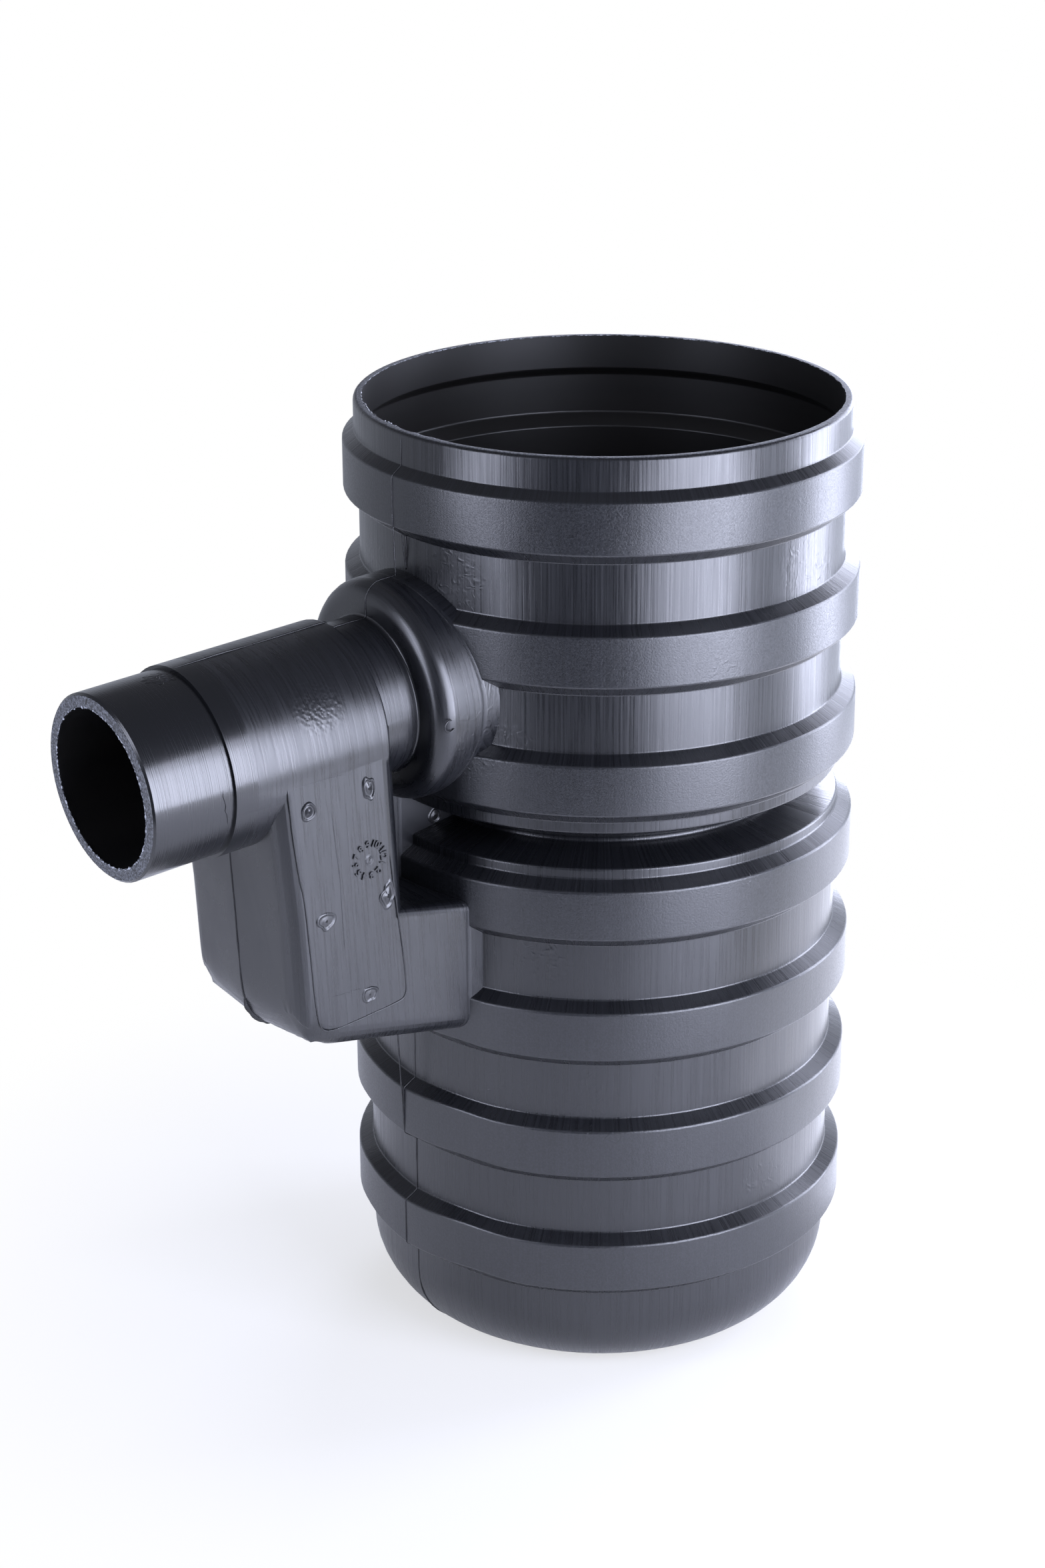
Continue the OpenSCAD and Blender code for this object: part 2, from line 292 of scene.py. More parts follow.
def plastic(name, roughness, ior):
    """A new material of one shader, with the values that are even all over set on the shader itself. Bare
    polyethylene's index is 1.54. Carbon black makes its skin shine more, which a higher index stands for."""
    material = bpy.data.materials.new(name)
    material.use_nodes = True
    shader = material.node_tree.nodes["Principled BSDF"]
    feed(shader, {"Roughness": roughness, "IOR": ior})
    return material, shader, partial(add, material.node_tree)


# Patches of folds in the skin, and of pits over the tube: the middle and the reach, in metres.
FOLD_PATCHES = (
    ((-0.1435, -0.0350, 0.5190), 0.030),
    ((-0.1310, -0.0690, 0.2130), 0.030),
    ((-0.1050, -0.1040, 0.1970), 0.030),
    ((-0.1455, -0.0270, 0.2680), 0.017),
)
PIT_PATCH = ((-0.24585, -0.0480, 0.4690), 0.021)


def blow_moulded_polyethylene():
    """High-density polyethylene with carbon black, blow moulded from a hanging tube of melt.

    The die leaves fine upright streaks in the skin, the blasted mould a light grain on the rib faces,
    folds of cold melt small wrinkles, and the cooling wall a slow waver. The spigot is turned on a lathe
    afterwards and the two ends are sawn, which shows a paler, torn face.
    """
    material, shader, node = plastic("BlowMouldedPolyethylene", 0.3, 1.7)

    # Where a point lies: height and radius round the pot, and l, v and radius round the outlet.
    spot = node("TexCoord", output="Object")
    x, y, z = node("SeparateXYZ", (spot,)).node.outputs
    flat = node("CombineXYZ", (x, y))
    radius = node("VectorMath", (flat,), "Value", operation="LENGTH")
    far = node("VectorMath", (spot, tuple(ALONG)), "Value", operation="DOT_PRODUCT")
    up = node("VectorMath", (spot, tuple(RISE)), "Value", operation="DOT_PRODUCT")
    l = node("Math", (far, ROOT @ ALONG), operation="SUBTRACT")
    v = node("Math", (up, ROOT @ RISE), operation="SUBTRACT")
    tube_radius = node("VectorMath", (node("CombineXYZ", (y, v)),), "Value", operation="LENGTH")
    skin_way = node("NewGeometry", output="Normal")
    facing = node("VectorMath", (skin_way, flat), "Value", operation="DOT_PRODUCT")

    # Patterns.
    # Die streaks: about 1.3 mm wide, in bands of 8 mm; the real ones go down to 0.2 mm, which would not show.
    around = node("VectorMath", (flat,), operation="NORMALIZE")
    lifted = node("VectorMath", (spot, (0.0, 0.0, 0.015)), operation="MULTIPLY")
    upright = node("VectorMath", (around, (0.15, 0.15, 0.15), lifted), operation="MULTIPLY_ADD")
    round_tube = node("VectorMath", (node("CombineXYZ", (l, y, v)), (1.0, 0.03, 0.03)), operation="MULTIPLY")
    beyond = node("MapRange", (radius, 0.1588, 0.1600))
    outlet_side = node("MapRange", (x, -0.02, -0.03))
    on_outlet = node("Math", (beyond, outlet_side), operation="MULTIPLY")
    way = node("Mix", {SHARE: on_outlet, A_WAY: upright, B_WAY: round_tube}, **WAYS)
    streak = node("TexNoise", {"Vector": way, "Scale": 760.0, "Detail": 3.0, "Roughness": 0.65})
    broad_streak = node("TexNoise", {"Vector": way, "Scale": 130.0, "Detail": 2.0})
    # Blasted mould grain on the rib faces: 1 mm pits stand for the real 0.3 mm.
    grain = node("TexNoise", {"Vector": spot, "Scale": 950.0, "Detail": 2.0, "Roughness": 0.6})
    # Folds of cold melt: wrinkles 5 mm apart, also where a cloud some 75 mm across is thick.
    fold_inputs = {"Vector": spot, "Scale": 190.0, "Detail": 2.0, "Distortion": 1.2}
    fold = node("TexNoise", fold_inputs, noise_type="RIDGED_MULTIFRACTAL")
    cloud = node("TexNoise", {"Vector": spot, "Scale": 13.0, "Detail": 2.0})
    # The wall's slow waver: swells 60 mm across.
    waver = node("TexNoise", {"Vector": spot, "Scale": 16.0, "Detail": 1.0})
    # Turning lines on the spigot: 0.7 mm apart stands for a 0.3 mm feed.
    lathe = node("TexNoise", {"Vector": node("CombineXYZ", (l,)), "Scale": 1500.0, "Detail": 2.0})
    # Torn spots where the ends were sawn: 1.4 mm across.
    torn = node("TexNoise", {"Vector": spot, "Scale": 700.0, "Detail": 4.0, "Roughness": 0.75})
    # Gas pits over the tube: about 2 mm apart, as the real ones are.
    pits = node("TexVoronoi", {"Vector": spot, "Scale": 480.0}, feature="SMOOTH_F1")
    # Painted rings of light on the inner wall, where it swells behind each rib: 30 mm high.
    ring = node("TexNoise", {"Vector": node("CombineXYZ", {2: z}), "Scale": 30.0})

    # Masks, each from 0 to 1 between two edges of what it reads.
    edges = {
        "rib_face": (radius, 0.1560, 0.1572),
        "not_beyond": (radius, 0.1592, 0.1580),
        "turned": (l, 0.2928, 0.2932),
        "sawn_end": (l, SPIGOT_END - 0.0003, SPIGOT_END - 0.0001),
        "sawn_rim": (z, RIM_Z - 0.0004, RIM_Z - 0.0001),
        "inward": (facing, -0.001, -0.006),
        "within": (radius, 0.1560, 0.1545),
        "bore": (tube_radius, 0.0484, 0.0480),
        "past_leg": (l, 0.21, 0.22),
        "round": (tube_radius, 0.0578, 0.0574),
        "cloudy": (cloud, 0.60, 0.70),
        "streaky": (streak, 0.3, 0.75),
        "ragged": (torn, 0.42, 0.62),
        "painted_light_rings": (ring, 0.35, 0.65),
    }
    is_ = {name: node("MapRange", ends, **EASED) for name, ends in edges.items()}
    on_rib = node("Math", (is_["rib_face"], is_["not_beyond"]), operation="MULTIPLY")
    round_part = node("Math", (is_["round"], is_["turned"]), operation="MULTIPLY")
    faced = node("Math", (on_outlet, round_part), operation="MULTIPLY")
    in_pot = node("Math", (is_["inward"], is_["within"]), operation="MULTIPLY")
    in_bore = node("Math", (is_["bore"], is_["past_leg"]), operation="MULTIPLY")
    inside = node("Math", (in_pot, in_bore), operation="MAXIMUM")
    sawn = node("Math", (is_["sawn_end"], is_["sawn_rim"]), operation="MAXIMUM")
    worked = node("Math", (faced, sawn), operation="MAXIMUM")
    covered = node("Math", (worked, inside), operation="MAXIMUM")
    skin_only = node("Math", (1.0, covered), operation="SUBTRACT", use_clamp=True)
    rib_part = node("Math", (on_rib, 0.7), operation="MULTIPLY")
    outlet_part = node("Math", (on_outlet, 0.45), operation="MULTIPLY")
    calm = node("Math", (rib_part, outlet_part), operation="ADD")
    rough_part = node("Math", (1.0, calm), operation="SUBTRACT", use_clamp=True)
    streaked = node("Math", (skin_only, rough_part), operation="MULTIPLY")
    folded = is_["cloudy"]
    for centre, reach in FOLD_PATCHES:
        away = node("VectorMath", (spot, centre), "Value", operation="DISTANCE")
        near = node("MapRange", (away, reach, 0.6 * reach), **EASED)
        folded = node("Math", (folded, near), operation="MAXIMUM")
    folded = node("Math", (folded, skin_only), operation="MULTIPLY")
    centre, reach = PIT_PATCH
    away = node("VectorMath", (spot, centre), "Value", operation="DISTANCE")
    pitted = node("MapRange", (away, reach, 0.4 * reach), **EASED)

    # Relief: each pattern, where it shows, and how deep it goes in metres.
    height = 0.0
    for pattern, where, depth in (
        (streak, streaked, 0.00009),
        (broad_streak, streaked, 0.00018),
        (grain, on_rib, 0.00009),
        (fold, folded, 0.00022),
        (pits, pitted, 0.00022),
        (waver, 1.0, 0.0006),
        (lathe, faced, 0.00009),
        (torn, sawn, 0.0004),
    ):
        part = node("Math", (pattern, where), operation="MULTIPLY")
        height = node("Math", (part, depth, height), operation="MULTIPLY_ADD")
    bump = node("Bump", {"Strength": 1.0, "Distance": 1.0, "Height": height})

    # Colour: the skin first, then what lies over it.
    skin = linear("101114")
    scuffed = node("Math", (is_["ragged"], on_rib), operation="MULTIPLY")
    scuffed = node("Math", (scuffed, 0.3), operation="MULTIPLY")
    # Inside the pot and the bore the colour is darker and browner than the skin, which is painted shade, with
    # painted rings of light where the inner wall swells behind each rib.
    tones = {SHARE: is_["painted_light_rings"], A_COLOUR: linear("090808"), B_COLOUR: linear("12100f")}
    inner_painted_shade = node("Mix", tones, **COLOURS)
    tones = {SHARE: is_["ragged"], A_COLOUR: linear("222326"), B_COLOUR: linear("6b6e75")}
    cut = node("Mix", tones, **COLOURS)
    for where, colour in (
        (is_["streaky"], linear("18191d")),
        (scuffed, linear("303236")),
        (faced, linear("111215")),
        (inside, inner_painted_shade),
        (sawn, cut),
    ):
        skin = node("Mix", {SHARE: where, A_COLOUR: skin, B_COLOUR: colour}, **COLOURS)

    # Roughness, in the same way.
    gloss = node("MapRange", (streak, 0.3, 0.7, 0.22, 0.38))
    rib_gloss = node("MapRange", (grain, 0.3, 0.7, 0.28, 0.42))
    lathe_gloss = node("MapRange", (lathe, 0.32, 0.68, 0.13, 0.3))
    for where, value in ((on_rib, rib_gloss), (faced, lathe_gloss), (inside, 0.42), (sawn, 0.62)):
        gloss = node("Mix", {SHARE: where, A_NUMBER: gloss, B_NUMBER: value})
    feed(shader, {"Base Color": skin, "Roughness": gloss, "Normal": bump})
    return material


def flash_polyethylene():
    """The same black polyethylene where the mould's halves meet: a thin glossy flash, darker than the skin by
    painted shade.
    """
    material, shader, node = plastic("FlashPolyethylenePaintedShade", 0.34, 1.6)
    spot = node("TexCoord", output="Object")
    # Nicks in the thin edge: 2.4 mm wide.
    nick = node("TexNoise", {"Vector": spot, "Scale": 420.0, "Detail": 3.0})
    nicked = node("MapRange", (nick, 0.45, 0.7), **EASED)
    # The dark tone is painted shade for the shadow along the flash, the figures and the arrow. The nicks are
    # lighter.
    tones = {SHARE: nicked, A_COLOUR: linear("0b0b0d"), B_COLOUR: linear("25262a")}
    colour = node("Mix", tones, **COLOURS)
    bump = node("Bump", {"Strength": 1.0, "Distance": 0.0001, "Height": nick})
    feed(shader, {"Base Color": colour, "Normal": bump})
    return material


def burr_polyethylene():
    """Torn shavings of the same polyethylene at the sawn ends, stretched until they look whitish."""
    material, shader, node = plastic("TornPolyethylene", 0.5, 1.54)
    spot = node("TexCoord", output="Object")
    # Tears: 2 mm long.
    tear = node("TexNoise", {"Vector": spot, "Scale": 500.0, "Detail": 3.0})
    stretched = node("MapRange", (tear, 0.42, 0.62), **EASED)
    tones = {SHARE: stretched, A_COLOUR: linear("3c3e43"), B_COLOUR: linear("b9bdc6")}
    colour = node("Mix", tones, **COLOURS)
    bump = node("Bump", {"Strength": 0.8, "Distance": 0.0002, "Height": tear})
    feed(shader, {"Base Color": colour, "Normal": bump})
    return material


def moulded_polypropylene():
    """Polypropylene, injection moulded in a spark-eroded tool: an even dark grey with a fine matt grain."""
    material, shader, node = plastic("InjectionMouldedPolypropylene", 0.42, 1.49)
    spot = node("TexCoord", output="Object")
    # Spark grain: 0.8 mm stands for the real 0.1 mm. Flow clouds: 25 mm.
    grain = node("TexNoise", {"Vector": spot, "Scale": 1200.0, "Detail": 2.0})
    flow = node("TexNoise", {"Vector": spot, "Scale": 40.0, "Detail": 3.0})
    flowing = node("MapRange", (flow, 0.3, 0.7), **EASED)
    tones = {SHARE: flowing, A_COLOUR: linear("333437"), B_COLOUR: linear("3f4144")}
    colour = node("Mix", tones, **COLOURS)
    matt = node("MapRange", (grain, 0.3, 0.7, 0.36, 0.5))
    bump = node("Bump", {"Strength": 0.6, "Distance": 0.0001, "Height": grain})
    feed(shader, {"Base Color": colour, "Roughness": matt, "Normal": bump})
    return material


def moulded_rubber():
    """EPDM rubber, moulded: dull black with a dusty bloom."""
    material, shader, node = plastic("MouldedRubber", 0.7, 1.5)
    spot = node("TexCoord", output="Object")
    # Bloom: dusty spots 6 mm across.
    bloom = node("TexNoise", {"Vector": spot, "Scale": 160.0, "Detail": 4.0})
    dusty = node("MapRange", (bloom, 0.4, 0.7), **EASED)
    tones = {SHARE: dusty, A_COLOUR: linear("161616"), B_COLOUR: linear("262626")}
    colour = node("Mix", tones, **COLOURS)
    dull = node("MapRange", (bloom, 0.3, 0.7, 0.62, 0.8))
    feed(shader, {"Base Color": colour, "Roughness": dull})
    return material


SKIN = blow_moulded_polyethylene()
FLASH_PAINTED_SHADE = flash_polyethylene()
BURR = burr_polyethylene()
STOPPER = moulded_polypropylene()
RUBBER = moulded_rubber()

# ---------------------------------------------------------------- the CAD's shells, with their points merged
def merged(points, faces):
    """The same faces over points that are each kept once, without the faces that this leaves no area."""
    kept, where = np.unique(np.round(points, 7), axis=0, return_inverse=True)
    faces = where.reshape(-1)[faces]
    real = (faces[:, 0] != faces[:, 1]) & (faces[:, 1] != faces[:, 2]) & (faces[:, 2] != faces[:, 0])
    return kept, faces[real]


def sides_of(faces):
    """The three sides of each triangle, each as its two point numbers in rising order."""
    return np.sort(faces[:, [[0, 1], [1, 2], [2, 0]]], axis=2)


def refined(points, faces, wanted, limit):
    """Halves the longest side of every triangle that lies in the wanted region until none there is longer than
    the limit. A side is cut only when it is the longest of both triangles on it, so no gap opens."""
    for _ in range(60):
        rows = np.arange(len(faces))
        sides = sides_of(faces)
        length = np.linalg.norm(points[sides[..., 0]] - points[sides[..., 1]], axis=2)
        code = sides[..., 0] * (len(points) + 1) + sides[..., 1]
        # the same side has the same length in both triangles; its code settles a tie
        order = np.lexsort((code.ravel(), np.round(length, 9).ravel(), np.repeat(rows, 3)))
        top = order.reshape(-1, 3)[:, 2] - 3 * rows
        own = code[rows, top]
        need = wanted(points[faces].mean(1)) & (length[rows, top] > limit)
        if not need.any():
            break
        # a triangle beside a side that is to be cut needs a cut as well
        for _ in range(40):
            asked = np.isin(code, own[need]).any(1) & ~need
            if not asked.any():
                break
            need |= asked
        kept, first, count = np.unique(code.ravel(), return_index=True, return_counts=True)
        chosen, votes = np.unique(own[need], return_counts=True)
        cut = chosen[votes == count[np.searchsorted(kept, chosen)]]
        split = np.isin(own, cut) & need
        fresh = len(points) + np.searchsorted(cut, own[split])
        pair = sides.reshape(-1, 2)[first[np.searchsorted(kept, cut)]]
        points = np.concatenate([points, points[pair].mean(1)])
        k = top[split]
        f = faces[split]
        r = np.arange(len(f))
        a, b, c = f[r, k], f[r, (k + 1) % 3], f[r, (k + 2) % 3]
        faces = np.concatenate([faces[~split], np.stack([a, fresh, c], 1), np.stack([fresh, b, c], 1)])
    return points, faces


def cut_in_halves(points, faces):
    """Cuts each triangle that crosses the plane y = 0 along it. A corner that stands alone on its side keeps
    the tip, and the other two corners keep the rest, as two triangles. A corner on the plane halves its
    triangle."""
    y = np.where(np.abs(points[:, 1]) < 1e-7, 0.0, points[:, 1])
    points = np.stack([points[:, 0], y, points[:, 2]], 1)
    side = np.sign(y)[faces]
    crosses = (side.min(1) < 0) & (side.max(1) > 0)
    whole, f, side = faces[~crosses], faces[crosses], side[crosses]
    halved = (side == 0).any(1)
    first = np.where(halved, (side == 0).argmax(1), (side == -side.sum(1, keepdims=True)).argmax(1))
    corners = np.stack([f[np.arange(len(f)), (first + k) % 3] for k in range(3)])
    (a0, b0, c0), (a1, b1, c1) = corners[:, halved], corners[:, ~halved]

    # one new point on each side that is cut: opposite the corner on the plane, or on both sides of the tip
    ends = np.concatenate([np.stack(pair, 1) for pair in ((b0, c0), (a1, b1), (a1, c1))])
    pairs, at = np.unique(np.sort(ends, axis=1), axis=0, return_inverse=True)
    mid, on_ab, on_ac = np.split(at.reshape(-1) + len(points), [len(a0), len(a0) + len(a1)])
    low, high = points[pairs[:, 0]], points[pairs[:, 1]]
    fresh = low + (low[:, 1] / (low[:, 1] - high[:, 1]))[:, None] * (high - low)
    fresh[:, 1] = 0.0
    parts = ((a0, b0, mid), (a0, mid, c0), (a1, on_ab, on_ac), (on_ab, b1, c1), (on_ab, c1, on_ac))
    return np.concatenate([points, fresh]), np.concatenate([whole] + [np.stack(part, 1) for part in parts])


def leg_finish(points, faces):
    """Finishes the leg as the mould leaves it. Each half falls away from the parting line by the mould's draft:
    the front goes back and the floor goes up by the draft's tangent times the distance from the line. The toe's
    edges are then rounded: its skin is cut into 4 mm triangles, and each point goes half of the way to the
    middle of its neighbours, or less near the toe's border, forty times over."""
    points, faces = cut_in_halves(points, faces)

    def in_toe(middle):
        return ((middle - ROOT) @ ALONG > 0.246) & ((middle - ROOT) @ RISE < -0.138)

    points, faces = refined(points, faces, in_toe, 0.0042)
    ends = np.unique(sides_of(faces).reshape(-1, 2), axis=0)

    # The draft: it fades in over a few centimetres below the tube and in front of the port.
    l, v, y = (points - ROOT) @ ALONG, (points - ROOT) @ RISE, np.abs(points[:, 1])
    fall = math.tan(DRAFT) * np.minimum(y, BOX_SIDE)
    back = fall * smoothstep(l, 0.215, 0.262) * smoothstep(-v, 0.045, 0.085)
    up = fall * smoothstep(-v, 0.110, 0.155) * smoothstep(l, 0.150, 0.170)
    points = points - ALONG * back[:, None] + RISE * up[:, None]

    # The rounding: only the outer skin moves, which is what lies less than 4.5 mm deep.
    floor_v = -LEG_DROP - (LEG_FRONT - l) * math.tan(FLOOR_SLOPE)
    depth = np.minimum(np.minimum(LEG_FRONT - fall - l, v - floor_v), BOX_SIDE - y)
    share = 0.5 * smoothstep(l, 0.246, 0.262) * smoothstep(-v, 0.138, 0.156) * (depth < 0.0045)
    for _ in range(40):
        total = np.zeros_like(points)
        count = np.zeros(len(points))
        for a, b in ((0, 1), (1, 0)):
            np.add.at(total, ends[:, a], points[ends[:, b]])
            np.add.at(count, ends[:, a], 1)
        points = points + share[:, None] * (total / count[:, None] - points)
    return points, faces


def dressed_shell(name, node, material, body, finish=None):
    """A merged copy of a CAD node, shaded smooth over its rounds and sharp at its corners."""
    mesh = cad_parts[node].data
    points, faces = merged(read_points(mesh), read_triangles(mesh))
    if finish:
        points, faces = finish(points, faces)
    shell = mesh_object(name, points, faces, material, body)
    shell.data.set_sharp_from_angle(angle=SHARP)
    even = shell.modifiers.new("even_normals", "WEIGHTED_NORMAL")
    even.keep_sharp = True
    even.weight = 60
    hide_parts(node)
    return points, faces


pot_points, pot_faces = dressed_shell("pot_shell", "gully_pot", SKIN, "pot", leg_finish)
dressed_shell("stopper_shell", "rodding_stopper", STOPPER, "stopper")
dressed_shell("seal_ring", "stopper_seal", RUBBER, "stopper")


# ---------------------------------------------------------------- the parting line
skin_tree = BVHTree.FromPolygons(pot_points.tolist(), pot_faces.tolist())
TOUCH_PITCH = 0.4  # millimetres between the lines that touch the shell


def touch(starts, way):
    """Where straight lines from the starts first meet the shell, and the shell's normals there."""
    hits = [skin_tree.ray_cast(Vector(start), Vector(way)) for start in starts.reshape(-1, 3)]
    return np.array([hit[:2] for hit in hits if hit[0] is not None]).transpose(1, 0, 2)


def down_wall(x, high, low):
    """Starts on an upright line at x, from high to low."""
    z = np.arange(high, low, -TOUCH_PITCH * MM)
    return np.stack([np.full_like(z, x), np.zeros_like(z), z], -1)


def along_outlet(first, last, v):
    """Starts on a line at v above the outlet, from l = first to last."""
    return at_outlet(np.arange(first, last, math.copysign(TOUCH_PITCH, last - first)), 0, v)


def down_outlet(l, high, low):
    """Starts on a line square to the outlet at l, from v = high to low."""
    return at_outlet(l, 0, np.arange(high, low, -TOUCH_PITCH))


def parting_line():
    """The flash where the mould's halves meet, in the plane y = 0. The shell is touched from outside along its
    section, and a bead lies on the path. Its width, its height and its place across the plane are each a middle
    value plus a share of a drift."""
    far_wall = touch(down_wall(0.4, RIM_Z - 0.0015, 0.004), (-1, 0, 0))
    wall = touch(down_wall(-0.6, RIM_Z - 0.0015, 0.5172), (1, 0, 0))
    low_wall = touch(down_wall(-0.6, 0.2300, 0.004), (1, 0, 0))
    boss = touch(along_outlet(149.2, 174.8, 150), -RISE)
    boss_face = touch(down_outlet(190, 60.5, 52.8), -ALONG)
    tube = touch(along_outlet(175.6, 307.2, 150), -RISE)
    under_tube = touch(along_outlet(307.2, 282.4, -300), RISE)
    front = touch(down_outlet(450, -58.5, -164.0), -ALONG)
    under_leg = touch(along_outlet(280.6, 151.0, -300), RISE)
    beads = []
    for k, (runs, wide, tall) in enumerate((
        ([far_wall], 0.42, 0.42),
        ([wall, boss, boss_face, tube], 0.45, 0.5),
        ([under_tube], 0.42, 0.4),
        ([front, under_leg], 0.5, 0.5),
        ([low_wall], 0.42, 0.45),
    )):
        points, normals = even_run(*np.concatenate(runs, axis=1), 0.8 * MM)
        n = len(points)
        width = wide * MM * (1 + 0.35 * drift(n, 11 + k, 9))
        height = tall * MM * (1 + 0.45 * drift(n, 21 + k, 14))
        points = points + ACROSS * (0.15 * MM * drift(n, 31 + k, 25))[:, None]
        beads.append(boxed(bead(points, normals, width, height)))
    # The flash's darker colour paints the shade along the line.
    bead_mesh("parting_line", beads, FLASH_PAINTED_SHADE)


def toe_flash():
    """A lobe of flash left on the toe: a bead along the chamfer whose height is 3.4 mm times the sine of pi
    times the share of the way, to the power 0.7, and wavers."""
    path = np.array([(281.0, -158.0), (279.0, -165.5), (272.5, -173.5), (266.0, -180.0), (259.0, -183.0)])
    points = at_outlet(path[:, 0] - 1.2, 0.3, path[:, 1] + 1.2)
    points, normals = even_line(points, unit(ALONG - RISE), 0.7 * MM)
    share = np.linspace(0, 1, len(points))
    height = 3.4 * MM * np.sin(np.pi * share) ** 0.7 * (1 + 0.1 * drift(len(points), 61, 6))
    bead_mesh("toe_flash", [bead(points, normals, 0.8 * MM, height, 3)], FLASH_PAINTED_SHADE)


parting_line()
toe_flash()


# ---------------------------------------------------------------- where the ends were sawn
def ragged_ring(points, out, wide, tall, seed, reach):
    """A closed ragged burr along a ring of points: its height and width are a middle value plus a drift, and
    where that falls too low the burr is cut to nearly nothing."""
    n = len(points)
    height = tall * MM * np.clip(0.55 + 0.9 * drift(n, seed, reach), 0.05, None)
    width = wide * MM * np.clip(0.8 + 0.5 * drift(n, seed + 1, reach), 0.2, None)
    along = unit(np.roll(points, -1, axis=0) - np.roll(points, 1, axis=0))
    return swept(points, np.cross(along, out), out, width, height)


def on_rim(turn, radius, drop):
    """Points about the pot's axis: radius times the cosine and the sine of the turn, and drop below the rim."""
    return np.stack(np.broadcast_arrays(radius * np.cos(turn), radius * np.sin(turn), RIM_Z - drop), -1)


def spigot_burr():
    """The burr round the spigot's bore, where the saw came through."""
    end = SPIGOT_END / MM
    turn = np.linspace(0, 360, 720, endpoint=False)
    inward = unit(ROOT + ALONG * SPIGOT_END - on_round(end, turn, SPIGOT_BORE))
    burr = ragged_ring(on_round(end - 0.1, turn, SPIGOT_BORE - 0.1), inward, 0.5, 0.8, 71, 3)
    ring_mesh("spigot_burr", burr, BURR)


def rim_burr():
    """The finer burr along the inner edge of the rim."""
    edge = on_rim(np.radians(np.linspace(0, 360, 1440, endpoint=False)), RIM_BORE, 0.35 * MM)
    inward = unit(edge * np.array([-1.0, -1.0, 0.0]))
    ring_mesh("rim_burr", ragged_ring(edge, inward, 0.3, 0.45, 75, 6), BURR)


def rim_curls():
    """Three flat curls of swarf that hang on the inner edge of the rim: beads whose radius and drop waver."""
    beads = []
    for k, (start, stop, lift, wide) in enumerate((
        (150, 164, 0.6, 0.5),
        (168, 176, 0.9, 0.6),
        (178, 196, 0.5, 0.7),
    )):
        turn = np.radians(np.linspace(start, stop, 40))
        radius = RIM_BORE - (0.2 + lift * (1 + drift(40, 81 + k, 5))) * MM
        drop = (0.5 + 0.3 * drift(40, 85 + k, 7)) * MM
        points = on_rim(turn, radius, drop)
        up = np.broadcast_to([0.0, 0.0, 1.0], points.shape)
        beads.append(boxed(bead(points, up, wide * MM, 0.25 * MM, 8)))
    bead_mesh("rim_curls", beads, BURR)


def spigot_shaving():
    """A thin shaving left beside the turned skin on the spigot, and a tear across its sawn end: two beads."""
    l = np.array([314.9, 315.3, 314.6, 313.8, 314.2, 312.9, 312.2, 311.6])
    turn = np.array([3.0, -1.0, -4.0, -7.5, -11.0, -14.0, -18.0, -22.0])
    shaving = on_round(l, turn, SPIGOT_RADIUS + 0.1)
    out = unit(shaving - ROOT - ((shaving - ROOT) @ ALONG)[:, None] * ALONG)
    shaving, out = even_run(shaving, out, 0.4 * MM)
    tear = at_outlet(SPIGOT_END / MM - 0.05, np.linspace(7.2, 4.2, 6), np.linspace(47.4, 53.4, 6))
    tear, tear_out = even_line(tear, ALONG, 0.3 * MM)
    beads = [bead(shaving, out, 0.16 * MM, 0.2 * MM), boxed(bead(tear, tear_out, 0.9 * MM, 0.1 * MM))]
    bead_mesh("spigot_shaving", beads, FLASH_PAINTED_SHADE)


def uncut_patch():
    """Moulded skin that the lathe left on top of the spigot. At radius r and turn t of the patch, l and the
    turn round the spigot are the patch's middle plus its reach times r times the cosine and the sine of t. It
    stands a little proud of the spigot's round, with a ragged edge that sinks in."""
    rows, cols = 14, 72
    r = np.linspace(0, 1, rows)[:, None]
    t = np.linspace(0, 2 * np.pi, cols, endpoint=False)[None, :]
    ragged = 1 + 0.3 * drift(cols, 91, 3)[None, :] * r
    l = 317.5 + 10.0 * r * ragged * np.cos(t)
    turn = 88.0 + 9.0 * r * ragged * np.sin(t)
    bumpy = 0.12 * drift(rows * cols, 93, 4).reshape(rows, cols)
    radius = SPIGOT_RADIUS - 0.05 + (0.22 + bumpy) * (1 - r**6) - 0.2 * r**10
    mark_mesh("uncut_patch", [on_round(l, turn, radius)], FLASH_PAINTED_SHADE)


spigot_burr()
rim_burr()
rim_curls()
spigot_shaving()
uncut_patch()


# ---------------------------------------------------------------- marks on the flat side, the web and the boss
def rounded(path):
    """Cuts each corner of a path off, three times over, which rounds it: points a quarter and three quarters of
    the way along each piece take the place of its ends."""
    path = np.asarray(path, float)
    for _ in range(3):
        a, b = path[:-1], path[1:]
        quarters = np.stack([a * 0.75 + b * 0.25, a * 0.25 + b * 0.75], 1).reshape(-1, 2)
        path = np.concatenate([path[:1], quarters, path[-1:]])
    return path


# The edge of the mould's insert plate, as l and v on the flat side.
INSERT_EDGE = (
    (274.0, -8.0), (272.8, -37.7), (270.8, -66.5), (268.4, -77.8), (267.3, -120.0),
    (266.6, -149.4), (264.6, -164.5), (256.0, -167.4), (240.0, -166.9), (210.2, -165.3),
    (202.9, -163.5), (202.6, -150.0), (203.5, -132.8), (206.2, -97.1), (208.0, -70.0),
)


